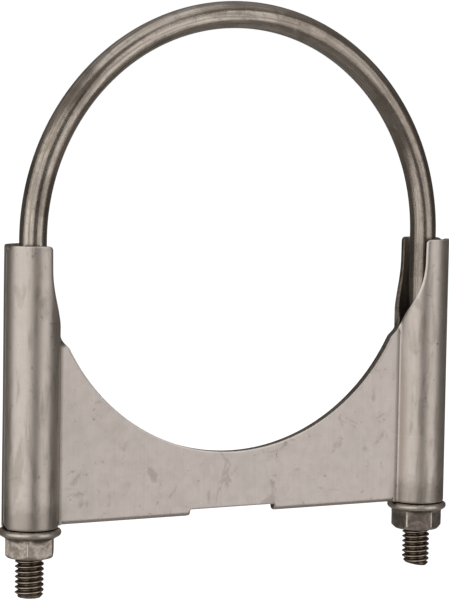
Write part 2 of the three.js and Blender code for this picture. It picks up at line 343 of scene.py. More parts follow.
def cut_edges():
    """The two open runs of cut edge of one layer: over the top, and round the notch."""
    half = resampled(half_outline(), RIM_STEP)
    mirrored = half[:0:-1] * (-1, 1)
    over_top = np.concatenate([mirrored, half])
    notch_half = resampled(rounded([
        (0, NOTCH_TOP, 0),
        (NOTCH_HALF_WIDTH, NOTCH_TOP, NOTCH_CORNER_R),
        (NOTCH_HALF_WIDTH, WELD_Z, 0),
    ]), RIM_STEP)
    notch = np.concatenate([notch_half[::-1], notch_half[1:] * (-1, 1)])
    return over_top, notch


def edge_roll(s, z):
    """Reach and depth of the rolled edge at a point of the outline."""
    if abs(s) > SEAM_S - SEAM_MARGIN:
        return SEAM_ROLL
    if abs(abs(s) - FOLD_END_X) < SLIT_MARGIN and z < FOLD_Z + SLIT_MARGIN:
        return SLIT_ROLL
    if z < FOLD_Z + LOW_EDGE_HEIGHT:
        return PLAIN_ROLL
    wide = np.clip((LIP_S + WIDE_ROLL_BEYOND_LIP - abs(s)) / WIDE_ROLL_FADE, 0, 1)
    return PLAIN_ROLL + (WIDE_ROLL - PLAIN_ROLL) * wide


def outward_normals(run):
    """Unit normals to the left of a run of points, level at its two ends."""
    along = np.gradient(run, axis=0)
    normals = np.stack([-along[:, 1], along[:, 0]], axis=1)
    normals[0] = (math.copysign(1, normals[0, 0]), 0)
    normals[-1] = (math.copysign(1, normals[-1, 0]), 0)
    return normals / np.linalg.norm(normals, axis=1, keepdims=True)


def lattice():
    """Inner sample points of one layer, in columns that are closer together where it is bent."""
    flat = np.linspace(0, BEND_X, round(BEND_X / FLAT_STEP) + 1)
    bend = np.linspace(BEND_X, BEND_END_S, round((BEND_END_S - BEND_X) / BENT_STEP) + 1)
    wrap = np.linspace(BEND_END_S, SEAM_S, round((SEAM_S - BEND_END_S) / BENT_STEP) + 1)
    half = np.concatenate([flat, bend[1:], wrap[1:]])
    columns = np.concatenate([-half[:0:-1], half])
    rows = np.arange(SADDLE_BOTTOM, SLEEVE_TOP, FLAT_STEP)
    fold_rows = np.linspace(FOLD_Z, WELD_Z, FOLD_ROWS)
    points = [
        (s, z) for s in columns for z in rows
        if z > FOLD_Z + GRID_CLEARANCE or abs(s) > FOLD_END_X
    ]
    points += [(s, z) for s in columns for z in fold_rows if abs(s) < FOLD_END_X]
    return np.array(points)


def inside(points, loop):
    """Which points lie inside a closed loop."""
    x, y = points[:, 0, None], points[:, 1, None]
    x0, y0 = loop[:, 0], loop[:, 1]
    x1, y1 = np.roll(x0, -1), np.roll(y0, -1)
    crosses = (y0 > y) != (y1 > y)
    with np.errstate(divide="ignore", invalid="ignore"):
        at = x0 + (y - y0) * (x1 - x0) / (y1 - y0)
    return (crosses & (x < at)).sum(axis=1) % 2 == 1


def sheet_layer(vertices, faces, face_kinds, blank, y_sign):
    """Adds one layer of the sheet: its outer and inner faces and the rolled cut edge."""
    runs = cut_edges()
    rolls = [np.array([edge_roll(*point) for point in run]) for run in runs]
    inset = [run - roll[:, :1] * outward_normals(run) for run, roll in zip(runs, rolls)]
    loop = np.concatenate(inset)
    grid = lattice()
    grid = grid[inside(grid, loop)]
    nearest = np.concatenate([
        np.linalg.norm(part[:, None] - loop, axis=2).min(axis=1)
        for part in np.array_split(grid, DISTANCE_BATCHES)
    ])
    on_weld = grid[:, 1] < WELD_Z + JOIN_CLEARANCE
    grid = grid[(nearest > GRID_CLEARANCE) & ~on_weld]
    weld_line = []
    for sign in (-1, 1):
        weld_s = np.arange(NOTCH_HALF_WIDTH + NOTCH_CLEARANCE, FOLD_END_X - SLIT_CLEARANCE, FLAT_STEP)
        weld_line += [(sign * s, WELD_Z) for s in weld_s]
    flat_points = np.concatenate([loop, np.array(weld_line), grid])
    count = len(loop)
    edges = [(i, (i + 1) % count) for i in range(count)]
    points, _, triangles, _, _, _ = delaunay_2d_cdt(
        [Vector(p) for p in flat_points], edges, [], TRIANGLES_INSIDE, TRIANGLE_TOLERANCE
    )

    def add(s, z, depth, edge):
        x, y, height = place_on_sheet(s, z, depth)
        vertices.append((x, -y_sign * y, height))
        blank.append((s, z, edge))
        return len(vertices) - 1

    inner = LAYER_GAP / 2 - SHEET / 2
    turned = y_sign < 0
    for depth, flip in ((SHEET / 2, turned), (inner, not turned)):
        start = len(vertices)
        for p in points:
            add(p.x, p.y, depth, 0.0)
        for triangle in triangles:
            corners = [start + i for i in triangle]
            faces.append(corners[::-1] if flip else corners)
            face_kinds.append(SHEET_FACE)

    # The cut edge's profile: share of the reach, step back, depth, share of the roll, wear and painted
    # highlight, is cut
    profile = [(out, 0.0, SHEET / 2, rolled, out, False) for out, rolled in ROLL_PROFILE]
    for a in np.linspace(math.pi / 2, 0, EDGE_BREAK_POINTS):
        back = EDGE_BREAK * (1 - math.sin(a))
        profile.append((1.0, back, inner + EDGE_BREAK * (1 - math.cos(a)), 0.0, 1.0, True))
    profile.append((0.0, 0.0, inner, 0.0, 0.0, False))
    for run, base, roll in zip(runs, inset, rolls):
        rows = [
            [
                add(*(p + (out * reach - back) * n), depth - rolled * drop, edge)
                for out, back, depth, rolled, edge, _ in profile
            ]
            for p, n, (reach, drop) in zip(base, outward_normals(run), roll)
        ]
        for row, after in zip(rows, rows[1:]):
            for k in range(len(profile) - 1):
                quad = [row[k], after[k], after[k + 1], row[k + 1]]
                faces.append(quad if turned else quad[::-1])
                face_kinds.append(CUT_FACE if profile[k + 1][IS_CUT] else SHEET_FACE)


def build_saddle(materials):
    vertices, faces, face_kinds, blank = [], [], [], []
    for y_sign in (1, -1):
        sheet_layer(vertices, faces, face_kinds, blank, y_sign)
    piece = mesh_object("saddle_sheet", vertices, faces, materials, face_kinds)
    add_attribute(piece, "blank", blank)
    weld(piece, SADDLE_WELD_DISTANCE)
    return piece


# ------------------------------------------------------------------ the rod

# One pitch of the thread, as (share of the pitch, share of the depth): root, flank, crest, flank
THREAD_HALF = [(0.0, 1.0), (0.09, 0.95), (0.14, 0.8), (0.36, 0.2), (0.42, 0.05)]
ROD_SHANK, ROD_THREAD, ROD_END = 0, 1, 2
THREAD_FORM = THREAD_HALF + [(0.5, 0.0)] + [(1 - share, deep) for share, deep in THREAD_HALF[:0:-1]]


class Skin:
    """Vertices and quads gathered from grids, with one vector of facts per vertex."""

    def __init__(self):
        self.vertices, self.faces, self.kinds, self.facts = [], [], [], []

    def add(self, point, fact):
        self.vertices.append(point)
        self.facts.append(fact)
        return len(self.vertices) - 1

    def rows(self, rows, kind, closed=True):
        """Joins rows of vertex numbers by quads."""
        for row, after in zip(rows, rows[1:]):
            count = len(row)
            for k in range(count if closed else count - 1):
                following = (k + 1) % count
                self.faces.append((row[k], row[following], after[following], after[k]))
                self.kinds.append(kind)

    def cap(self, row, centre, fact, kind):
        """Closes a ring with a fan."""
        hub = self.add(centre, fact)
        for k, vertex in enumerate(row):
            self.faces.append((vertex, row[(k + 1) % len(row)], hub))
            self.kinds.append(kind)

    def make(self, name, materials, attribute):
        piece = mesh_object(name, self.vertices, self.faces, materials, self.kinds)
        add_attribute(piece, attribute, self.facts)
        weld(piece)
        return piece


def thread_radius(height, deep, end_z):
    """The thread's radius at one point: faded out at its top and held inside the end's chamfer."""
    fade = min(max((THREAD_TOP_Z - height) / THREAD_FADE, 0.0), 1.0)
    chamfer = THREAD_R - END_CHAMFER + (height - end_z) * END_CHAMFER_SLOPE
    cut = THREAD_R - THREAD_DEPTH * deep
    return min(ROD_R + (cut - ROD_R) * fade, chamfer)


def threaded_leg(skin, leg_x, end_slope):
    """A right-hand thread from the leg's end up to the shank. The end is cut at a slope, lowest on
    the side that END_SLOPE_BEARING points to."""
    def end_height(angle):
        rise = 1 - math.cos(angle - END_SLOPE_BEARING)
        return LEG_END_Z + end_slope * THREAD_R * rise

    turns = range(-SPARE_TURNS, math.ceil(THREAD_LENGTH / PITCH) + SPARE_TURNS)
    form = [(turn + share, deep) for turn in turns for share, deep in THREAD_FORM]
    grid = []
    for climb, deep in form:
        row = []
        for k in range(ROD_SIDES + 1):
            angle = 2 * math.pi * k / ROD_SIDES
            end_z = end_height(angle)
            height = LEG_END_Z + PITCH * (climb + k / ROD_SIDES)
            height = min(max(height, end_z), THREAD_TOP_Z)
            radius = thread_radius(height, deep, end_z)
            point = (leg_x + radius * math.cos(angle), radius * math.sin(angle), height)
            sunk = (THREAD_R - radius) / THREAD_DEPTH
            row.append(skin.add(point, (height, angle * ROD_R, sunk)))
        grid.append(row)
    skin.rows(grid, ROD_THREAD, closed=False)
    chamfer_r = THREAD_R - END_CHAMFER
    middle = LEG_END_Z + end_slope * THREAD_R
    rings = []
    for share in END_RINGS:
        ring = []
        for k in range(ROD_SIDES):
            angle = 2 * math.pi * k / ROD_SIDES
            radius = chamfer_r * share
            height = middle + (end_height(angle) - middle) * share
            point = (leg_x + radius * math.cos(angle), radius * math.sin(angle), height)
            ring.append(skin.add(point, (height, angle * ROD_R, END_SUNK)))
        rings.append(ring)
    skin.rows(rings, ROD_END)
    skin.cap(rings[-1], (leg_x, 0, middle), (middle, 0, END_SUNK), ROD_END)


def smooth_rod(skin):
    """The two shanks and the crown between them."""
    shank = CROWN_CENTRE_Z - THREAD_TOP_Z
    shank_steps = round(shank / SHANK_STEP)
    stations = [(LEG_X, THREAD_TOP_Z + shank * i / shank_steps, 0.0) for i in range(shank_steps)]
    for i in range(CROWN_STEPS + 1):
        turn = math.pi * i / CROWN_STEPS
        z = CROWN_CENTRE_Z + LEG_X * math.sin(turn)
        stations.append((LEG_X * math.cos(turn), z, turn))
    stations += [(-LEG_X, z, math.pi) for x, z, _ in reversed(stations[:shank_steps])]
    rows, along, before = [], 0.0, None
    for x, z, turn in stations:
        if before is not None:
            along += math.dist((x, z), before)
        before = (x, z)
        row = []
        for k in range(ROD_SIDES):
            angle = 2 * math.pi * k / ROD_SIDES
            out = ROD_R * math.cos(angle)
            point = (x + out * math.cos(turn), ROD_R * math.sin(angle), z + out * math.sin(turn))
            row.append(skin.add(point, (along, angle * ROD_R, 0.0)))
        rows.append(row)
    skin.rows(rows, ROD_SHANK)


def build_rod(materials):
    skin = Skin()
    for leg_x, end_slope in ((-LEG_X, LEFT_END_SLOPE), (LEG_X, RIGHT_END_SLOPE)):
        threaded_leg(skin, leg_x, end_slope)
    smooth_rod(skin)
    return skin.make("bent_rod", materials, "along")


# ------------------------------------------------------------------ the nuts

CORNER_ROUND = 0.6
CHAMFER_FOOT_R = 6.15
CHAMFER_SLOPE = math.tan(math.radians(42))
FLANGE_RIM = [
    (6.9, 0.0), (7.4, -0.03), (7.9, -0.13), (8.25, -0.32), (8.45, -0.62), (8.5, -0.95),
    (8.47, -1.25), (8.34, -1.55), (8.1, -1.8),
]
FLANGE_CONE = [
    (7.85, -1.93), (7.6, -2.06), (7.3, -2.22), (7.0, -2.4), (6.75, -2.6), (6.5, -2.8), (6.2, -3.05),
]
HEX_SECTOR = math.pi / 3
# A nut at zero turn has a corner, not a flat, towards +X
HEX_TURN_DEG = 30
# The rows down the hexagon: above the chamfer, then evenly through it, stopping just short of the end
HEX_HEIGHTS = (-3.3, -3.8, -4.5, -5.2, -5.9, -6.4)
CHAMFER_TOP = -6.6
CHAMFER_STEP = 0.075
CHAMFER_STOP = 0.02
# The end face inside the chamfer, as (radius, height above the end)
NUT_END = [(5.7, 0), (5.3, 0), (4.95, 0.03), (4.8, 0.12)]
# How softly the hexagon runs into the flange's cone and the end's chamfer
CONE_BLEND = 0.25
CHAMFER_BLEND = 0.12
# The bore: how much wider and how deep its mouth is, and its internal thread
BORE_MOUTH = 0.9
BORE_MOUTH_DEPTH = 0.75
BORE_STEP = 0.16
GROOVE_DEPTH = 0.55
GROOVE_HALF_WIDTH = 0.42
# How bright each part is rubbed, and how near a corner or edge that reaches
RIM_WEAR = 0.9
RIM_WEAR_REACH = 0.25
FACE_WEAR = 0.2
CHAMFER_WEAR = 0.6
CHAMFER_WEAR_REACH = 0.1
CORNER_WEAR_REACH = 0.55
NUT_FACE = 0


def angle_from_flat(angle):
    """How far an angle is from the middle of the nearest flat."""
    return abs((angle + HEX_SECTOR / 2) % HEX_SECTOR - HEX_SECTOR / 2)


def hexagon_radius(angle):
    """The hexagon's radius at an angle, with rounded corners."""
    from_flat = angle_from_flat(angle)
    inner = APOTHEM - CORNER_ROUND
    if from_flat < math.atan(inner * math.tan(HEX_SECTOR / 2) / APOTHEM):
        return APOTHEM / math.cos(from_flat)
    from_corner = HEX_SECTOR / 2 - from_flat
    centre = inner / math.cos(HEX_SECTOR / 2)
    return centre * math.cos(from_corner) + math.sqrt(
        CORNER_ROUND ** 2 - (centre * math.sin(from_corner)) ** 2
    )


def blended(a, b, width, sign):
    """The larger (sign 1) or smaller (sign -1) of two values, eased over a width."""
    gap = a - b
    return (a + b + sign * math.sqrt(gap ** 2 + width ** 2)) / 2


def nut_rows():
    """The nut's outline as rows of (kind, radius, height), from the bearing face down to the mouth of
    the bore in its end."""
    rows = [("round", NUT_BORE_R + BORE_MOUTH, 0.0)]
    rows += [("round", r, z) for r, z in FLANGE_RIM]
    rows += [("cone", r, z) for r, z in FLANGE_CONE]
    rows += [("hex", 0, z) for z in HEX_HEIGHTS]
    rows += [("hex", 0, z) for z in np.arange(CHAMFER_TOP, -NUT_HEIGHT + CHAMFER_STOP, -CHAMFER_STEP)]
    rows += [("hex", 0, -NUT_HEIGHT)]
    rows += [("round", r, -NUT_HEIGHT + rise) for r, rise in NUT_END]
    return rows


def build_nut(side, sign, materials):
    """A flange nut with its bearing face up."""
    skin = Skin()
    centre_x = sign * LEG_X
    turn = math.radians(NUT_TURN_DEG[side] + HEX_TURN_DEG)
    rows = []

    def add_row(radius_at, height, edge_at):
        row = []
        for k in range(NUT_SIDES):
            angle = 2 * math.pi * k / NUT_SIDES
            radius = radius_at(angle)
            world = angle + turn
            point = (
                centre_x + radius * math.cos(world),
                radius * math.sin(world),
                NUT_TOP_Z + height,
            )
            row.append(skin.add(point, (height, angle * APOTHEM, edge_at(angle))))
        rows.append(row)

    def corner_wear(angle):
        from_corner = HEX_SECTOR / 2 - angle_from_flat(angle)
        return max(0.0, 1 - from_corner * APOTHEM / CORNER_WEAR_REACH)

    def chamfer_wear(angle, cone):
        return CHAMFER_WEAR * (cone < hexagon_radius(angle) + CHAMFER_WEAR_REACH)

    for kind, radius, height in nut_rows():
        cone = CHAMFER_FOOT_R + (height + NUT_HEIGHT) / CHAMFER_SLOPE
        if kind == "round":
            wear = RIM_WEAR if FLANGE_R - RIM_WEAR_REACH < radius else FACE_WEAR
            add_row(lambda angle: radius, height, lambda angle: wear)
        elif kind == "cone":
            add_row(
                lambda angle: blended(hexagon_radius(angle), radius, CONE_BLEND, 1), height,
                lambda angle: 0.0,
            )
        else:
            add_row(
                lambda angle: blended(hexagon_radius(angle), cone, CHAMFER_BLEND, -1), height,
                lambda angle: max(corner_wear(angle), chamfer_wear(angle, cone)),
            )

    def groove(angle):
        share = (height / PITCH - (angle + turn) / (2 * math.pi)) % 1
        return NUT_BORE_R + GROOVE_DEPTH * max(0.0, 1 - abs(share - 0.5) / GROOVE_HALF_WIDTH)

    for height in np.arange(-NUT_HEIGHT + BORE_MOUTH_DEPTH, -BORE_MOUTH_DEPTH, BORE_STEP):
        add_row(groove, height, lambda angle: 0.0)
    rows.append(rows[0])
    skin.rows(rows, NUT_FACE)
    return skin.make(f"flange_nut_{side}", materials, "nut")


# ------------------------------------------------------------------ materials

# The colour sockets of a Mix node, which share their names with its other sockets
MIX_A, MIX_B, MIX_RESULT = 6, 7, 2


class Shader:
    """A Principled material and short ways to add nodes to it."""

    def __init__(self, name, metallic=1.0):
        self.material = bpy.data.materials.new(name)
        self.material.use_nodes = True
        self.tree = self.material.node_tree
        self.tree.nodes.clear()
        self.output = self.tree.nodes.new("ShaderNodeOutputMaterial")
        self.bsdf = self.tree.nodes.new("ShaderNodeBsdfPrincipled")
        self.tree.links.new(self.bsdf.outputs["BSDF"], self.output.inputs["Surface"])
        self.bsdf.inputs["Metallic"].default_value = metallic

    def node(self, kind, inputs=(), **settings):
        node = self.tree.nodes.new(kind)
        for key, value in settings.items():
            setattr(node, key, value)
        for key, value in dict(inputs).items():
            self.feed(node.inputs[key], value)
        return node

    def feed(self, socket, value):
        if isinstance(value, bpy.types.NodeSocket):
            self.tree.links.new(value, socket)
        else:
            socket.default_value = value

    def attribute(self, name):
        return self.node("ShaderNodeAttribute", attribute_name=name).outputs["Vector"]

    def position(self):
        """Object coordinates in millimetres."""
        place = self.node("ShaderNodeTexCoord").outputs["Object"]
        return self.vector("SCALE", place, Scale=1 / MM)

    def vector(self, operation, a, b=None, **inputs):
        node = self.node("ShaderNodeVectorMath", operation=operation)
        self.feed(node.inputs[0], a)
        if b is not None:
            self.feed(node.inputs[1], b)
        for key, value in inputs.items():
            self.feed(node.inputs[key], value)
        return node.outputs["Value" if operation == "LENGTH" else "Vector"]

    def stretched(self, place, scale, turn=0.0):
        """Coordinates scaled by axis, then turned about the third one."""
        node = self.node("ShaderNodeMapping", {"Vector": place, "Scale": scale})
        node.inputs["Rotation"].default_value = (0, 0, turn)
        return node.outputs["Vector"]

    def noise(self, place, scale=1.0, detail=2.0, roughness=0.5, distortion=0.0):
        node = self.node("ShaderNodeTexNoise", {
            "Vector": place, "Scale": scale, "Detail": detail, "Roughness": roughness,
            "Distortion": distortion,
        })
        return node.outputs["Fac"]

    def math(self, operation, a, b=0.0, clamp=False):
        node = self.node("ShaderNodeMath", operation=operation, use_clamp=clamp)
        self.feed(node.inputs[0], a)
        self.feed(node.inputs[1], b)
        return node.outputs["Value"]

    def band(self, value, low, high, start=0.0, end=1.0):
        """Maps low..high to start..end with soft ends."""
        node = self.node("ShaderNodeMapRange", interpolation_type="SMOOTHSTEP")
        for key, setting in (("Value", value), ("From Min", low), ("From Max", high),
                             ("To Min", start), ("To Max", end)):
            self.feed(node.inputs[key], setting)
        return node.outputs["Result"]

    def mix(self, share, a, b, blend="MIX"):
        node = self.node("ShaderNodeMix", data_type="RGBA", blend_type=blend)
        self.feed(node.inputs["Factor"], share)
        self.feed(node.inputs[MIX_A], a)
        self.feed(node.inputs[MIX_B], b)
        return node.outputs[MIX_RESULT]

    def coated(self, colour, mask, cover, tone):
        """A colour with a tone over it where the mask is, at a share of full cover."""
        return self.mix(self.math("MULTIPLY", mask, cover), colour, tone)

    def split(self, place):
        return self.node("ShaderNodeSeparateXYZ", {"Vector": place}).outputs

    def pits(self, place, scale, share, size):
        """Small round pits in a random share of cells."""
        cells = self.node("ShaderNodeTexVoronoi", {"Vector": place, "Scale": scale})
        chance = self.split(cells.outputs["Color"])
        chosen = self.math("GREATER_THAN", chance[0], 1 - share)
        radius = self.math("MULTIPLY", chance[1], size)
        near = self.math("SUBTRACT", radius, cells.outputs["Distance"])
        return self.math("MULTIPLY", self.band(near, 0.0, size * 0.5), chosen)

    def bump(self, height, distance, strength=1.0, under=None):
        node = self.node("ShaderNodeBump", {
            "Height": height, "Distance": distance * MM, "Strength": strength,
        })
        if under is not None:
            self.feed(node.inputs["Normal"], under)
        return node.outputs["Normal"]

    def finish(self, colour, roughness, normal):
        self.feed(self.bsdf.inputs["Base Color"], colour)
        self.feed(self.bsdf.inputs["Roughness"], roughness)
        self.feed(self.bsdf.inputs["Normal"], normal)
        return self.material


# Places on the flat blank: a spot of painted shade at the left bend, and where the grime by the sleeves
# fades out
CORNER_SHADE_SPOT = (-52.4, -25.0, 0)
GRIME_TOP = SADDLE_BOTTOM + 13.0
GRIME_FADE = 5.0


def sheet_steel():
    """Cold-rolled sheet: satin, faintly mottled, with stains, small pits, scuffs, rubbed edges that
    also carry a painted highlight, painted shade in the creases at the bends, a painted highlight just
    past them, a spot of painted shade at the left bend and grime low down on the sleeves."""
    m = Shader("sheet_steel")
    place = m.position()
    blank = m.attribute("blank")
    along, height, edge = m.split(blank)
    cloud = m.noise(place, 0.045, 3.0, 0.55)
    mottle = m.noise(place, 0.35, 4.0, 0.6, 0.4)
    grain = m.noise(place, 2.2, 2.0, 0.6)
    drawn = m.noise(m.stretched(blank, (1.6, 0.035, 0.0)), 1.0, 3.0, 0.6)
    stain = m.band(m.noise(place, 0.13, 4.0, 0.62, 1.0), 0.59, 0.66)
    spots = m.band(m.noise(place, 0.5, 3.0, 0.55, 0.6), 0.66, 0.73)
    # Painted shade: a dark spot on the blank at the left bend
    from_corner = m.vector("SUBTRACT", m.vector("MULTIPLY", blank, (1, 1, 0)), CORNER_SHADE_SPOT)
    corner_shade_spot = m.band(m.vector("LENGTH", from_corner), 0.5, 1.7, 1.0, 0.0)
    reach = m.math("ABSOLUTE", along)
    # Painted shade: a dark line along the crease of each bend
    bend_crease_shade = m.band(m.math("ABSOLUTE", m.math("SUBTRACT", reach, BEND_X + 0.1)), 0.1, 0.9, 1.0, 0.0)
    on_sleeve = m.band(reach, BEND_END_S, BEND_END_S + 2.0)
    streaks = m.noise(m.stretched(blank, (0.45, 0.06, 0.0)), 1.0, 4.0, 0.6, 0.5)
    smudge = m.math("MULTIPLY", on_sleeve, m.band(streaks, 0.5, 0.66))
    uneven_height = m.math("ADD", height, m.math("MULTIPLY", mottle, 9.0))
    low = m.band(uneven_height, GRIME_TOP - GRIME_FADE, GRIME_TOP, 1.0, 0.0)
    grime = m.math("MULTIPLY", m.band(reach, BEND_X - 3.0, BEND_X + 1.0), low)
    # Painted highlight: a bright strip on the sleeve just past each bend
    bend_highlight_strip = m.band(m.math("SUBTRACT", reach, BEND_END_S), -0.4, -0.1)
    bend_highlight_strip = m.math("MULTIPLY", bend_highlight_strip, m.band(reach, BEND_END_S + 0.4, BEND_END_S + 3.0, 1.0, 0.0))
    pits = m.pits(place, 0.16, 0.3, 0.075)
    scuff_a = m.band(m.noise(m.stretched(blank, (0.05, 2.6, 0.0), 0.5), 1.0, 2.0, 0.5), 0.7, 0.78)
    scuff_b = m.band(m.noise(m.stretched(blank, (0.04, 2.1, 0.0), -1.1), 1.0, 2.0, 0.5), 0.72, 0.8)
    scuffs = m.math("MAXIMUM", scuff_a, scuff_b)
    # Rubbed wear along the rolled edge, brightened further as a painted highlight
    rubbed_and_highlight = m.band(edge, 0.05, 0.8)

    colour = m.mix(on_sleeve, (0.61, 0.552, 0.532, 1), (0.605, 0.547, 0.507, 1))
    colour = m.mix(m.band(cloud, 0.35, 0.65, 0.0, 0.5), colour, (0.63, 0.57, 0.53, 1))
    colour = m.mix(m.band(mottle, 0.35, 0.7, 0.0, 0.08), colour, (0.48, 0.43, 0.385, 1))
    colour = m.mix(m.band(drawn, 0.3, 0.7, 0.0, 0.2), colour, (0.50, 0.445, 0.395, 1))
    colour = m.mix(m.band(grain, 0.4, 0.75, 0.0, 0.2), colour, (0.47, 0.42, 0.37, 1))
    colour = m.coated(colour, stain, 0.25, (0.38, 0.34, 0.285, 1))
    colour = m.coated(colour, spots, 0.5, (0.26, 0.22, 0.18, 1))
    # Painted highlight just past the bends
    colour = m.coated(colour, bend_highlight_strip, 0.4, (0.78, 0.72, 0.66, 1))
    # Painted shade in the bends' creases
    colour = m.coated(colour, bend_crease_shade, 0.5, (0.16, 0.135, 0.11, 1))
    colour = m.coated(colour, smudge, 0.4, (0.25, 0.215, 0.18, 1))
    colour = m.coated(colour, grime, 0.4, (0.17, 0.145, 0.12, 1))
    colour = m.coated(colour, pits, 0.8, (0.08, 0.065, 0.05, 1))
    colour = m.coated(colour, scuffs, 0.45, (0.8, 0.75, 0.7, 1))
    # Rubbed edges with a painted highlight
    colour = m.coated(colour, rubbed_and_highlight, 0.75, (0.82, 0.78, 0.74, 1))
    # Painted shade at the left bend
    colour = m.coated(colour, corner_shade_spot, 0.9, (0.09, 0.085, 0.07, 1))

    rough = m.band(mottle, 0.3, 0.7, 0.385, 0.435)
    rough = m.math("ADD", rough, m.math("MULTIPLY", stain, 0.06))
    rough = m.math("ADD", rough, m.math("MULTIPLY", pits, 0.2))
    rough = m.math("SUBTRACT", rough, m.math("MULTIPLY", scuffs, 0.05), clamp=True)

    normal = m.bump(m.math("ADD", grain, m.math("MULTIPLY", mottle, 2.0)), 0.012, 0.5)
    normal = m.bump(drawn, 0.02, 0.5, normal)
    normal = m.bump(m.math("ADD", pits, m.math("MULTIPLY", scuffs, 0.3)), -0.08, 0.7, normal)
    return m.finish(colour, rough, normal)


def cut_steel():
    """The sheared edge: streaked across the sheet, with dull dark patches."""
    m = Shader("cut_steel")
    place = m.position()
    tear = m.noise(m.stretched(place, (1.2, 3.5, 1.2)), 1.0, 4.0, 0.65)
    patch = m.noise(place, 0.3, 3.0, 0.5)
    colour = m.mix(m.band(tear, 0.35, 0.7), (0.15, 0.125, 0.105, 1), (0.32, 0.28, 0.245, 1))
    colour = m.mix(m.band(patch, 0.45, 0.7, 0.0, 0.6), colour, (0.1, 0.085, 0.07, 1))
    rough = m.band(tear, 0.3, 0.7, 0.38, 0.55)
    return m.finish(colour, rough, m.bump(tear, 0.06, 0.6))


def rod_steel():
    """Drawn bar: darker, streaked along its length, with rubbed patches and fine pitting. The half
    towards the right leg is painted darker and browner, as painted shade."""
    m = Shader("rod_steel")
    place = m.position()
    along = m.attribute("along")
    streak = m.noise(m.stretched(along, (0.05, 1.5, 0.0)), 1.0, 4.0, 0.6)
    fine = m.noise(m.stretched(along, (0.25, 5.0, 0.0)), 1.0, 2.0, 0.6)
    patch = m.noise(place, 0.09, 4.0, 0.6, 0.8)
    skin = m.noise(place, 0.75, 4.0, 0.65, 0.5)
    pits = m.pits(place, 0.6, 0.35, 0.16)

    colour = m.mix(m.band(streak, 0.3, 0.7), (0.28, 0.241, 0.206, 1), (0.57, 0.51, 0.455, 1))
    # Painted shade: the rod darkens and browns towards the right leg
    right_half_shade = m.band(m.split(place)[0], -5.0, 30.0, 0.0, 0.38)
    colour = m.mix(right_half_shade, colour, (0.2, 0.165, 0.138, 1))
    colour = m.mix(m.band(patch, 0.48, 0.62, 0.0, 0.5), colour, (0.2, 0.168, 0.14, 1))
    colour = m.mix(m.band(skin, 0.54, 0.72, 0.0, 0.5), colour, (0.16, 0.132, 0.108, 1))
    colour = m.mix(m.band(fine, 0.56, 0.74, 0.0, 0.6), colour, (0.64, 0.58, 0.52, 1))
    colour = m.coated(colour, pits, 0.6, (0.06, 0.05, 0.04, 1))

    rough = m.band(skin, 0.3, 0.7, 0.2, 0.28)
    rough = m.math("ADD", rough, m.math("MULTIPLY", pits, 0.15))
    normal = m.bump(m.math("ADD", streak, m.math("MULTIPLY", fine, 0.5)), 0.04, 0.5)
    normal = m.bump(skin, 0.03, 0.5, normal)
    return m.finish(colour, rough, normal)


def thread_steel():
    """Rolled thread: bare crests over flanks and roots that are dark with old oil."""
    m = Shader("thread_steel")
    place = m.position()
    depth = m.split(m.attribute("along"))[2]
    grime = m.noise(place, 0.8, 4.0, 0.6, 0.4)
    worn = m.noise(place, 0.45, 2.0, 0.5)
    crest = m.band(m.math("ADD", depth, m.math("MULTIPLY", worn, 0.12)), 0.1, 0.22, 1.0, 0.0)
    dark = m.mix(m.band(grime, 0.3, 0.65), (0.075, 0.057, 0.043, 1), (0.26, 0.205, 0.15, 1))
    colour = m.mix(crest, dark, (0.58, 0.51, 0.44, 1))
    rough = m.math("ADD", m.band(grime, 0.3, 0.7, 0.3, 0.45), m.math("MULTIPLY", crest, -0.02))
    return m.finish(colour, rough, m.bump(grime, 0.05, 0.5))


def end_steel():
    """The sheared ends of the legs."""
    m = Shader("end_steel")
    place = m.position()
    torn = m.noise(m.stretched(place, (0.5, 2.5, 1.0)), 1.0, 3.0, 0.6)
    colour = m.mix(m.band(torn, 0.3, 0.7), (0.12, 0.095, 0.075, 1), (0.34, 0.29, 0.25, 1))
    return m.finish(colour, m.band(torn, 0.3, 0.7, 0.35, 0.5), m.bump(torn, 0.12, 0.6))


def nut_steel():
    """Cold-formed nut: mid grey-brown, smudged, bright where corners and rims have rubbed."""
    m = Shader("nut_steel")
    place = m.position()
    wear = m.split(m.attribute("nut"))[2]
    smudge = m.noise(place, 0.33, 4.0, 0.62, 0.9)
    skin = m.noise(place, 1.1, 4.0, 0.6, 0.5)
    pits = m.pits(place, 0.7, 0.3, 0.15)
    rubbed_and_highlight = m.band(m.math("ADD", wear, m.math("MULTIPLY", skin, 0.3)), 0.45, 0.95)
    colour = m.mix(m.band(smudge, 0.38, 0.62), (0.26, 0.222, 0.193, 1), (0.5, 0.44, 0.392, 1))
    colour = m.mix(m.band(skin, 0.48, 0.7, 0.0, 0.5), colour, (0.15, 0.124, 0.105, 1))
    colour = m.coated(colour, pits, 0.6, (0.07, 0.055, 0.045, 1))
    colour = m.coated(colour, rubbed_and_highlight, 0.8, (0.62, 0.565, 0.51, 1))
    rough = m.math("SUBTRACT", m.band(skin, 0.3, 0.7, 0.34, 0.48), m.math("MULTIPLY", rubbed_and_highlight, 0.04))
    return m.finish(colour, rough, m.bump(skin, 0.05, 0.5))


# ------------------------------------------------------------------ camera, light and floor

# The camera stands in front of the clamp, to its left and slightly above it
CAMERA_YAW = math.radians(27.856)
CAMERA_PITCH = math.radians(5.022)
CAMERA_ROLL = math.radians(1.0)
CAMERA_DISTANCE = 739.55
CAMERA_TARGET = (-3.084, 0.0, -14.848)
CAMERA_LENS = 160.1
FLOOR_DROP = 60.0
# In metres, unlike the lengths above
LIGHTS_AIM = (0, 0, -0.02)
FLOOR_R = 4.9
DOME_R = 5.0
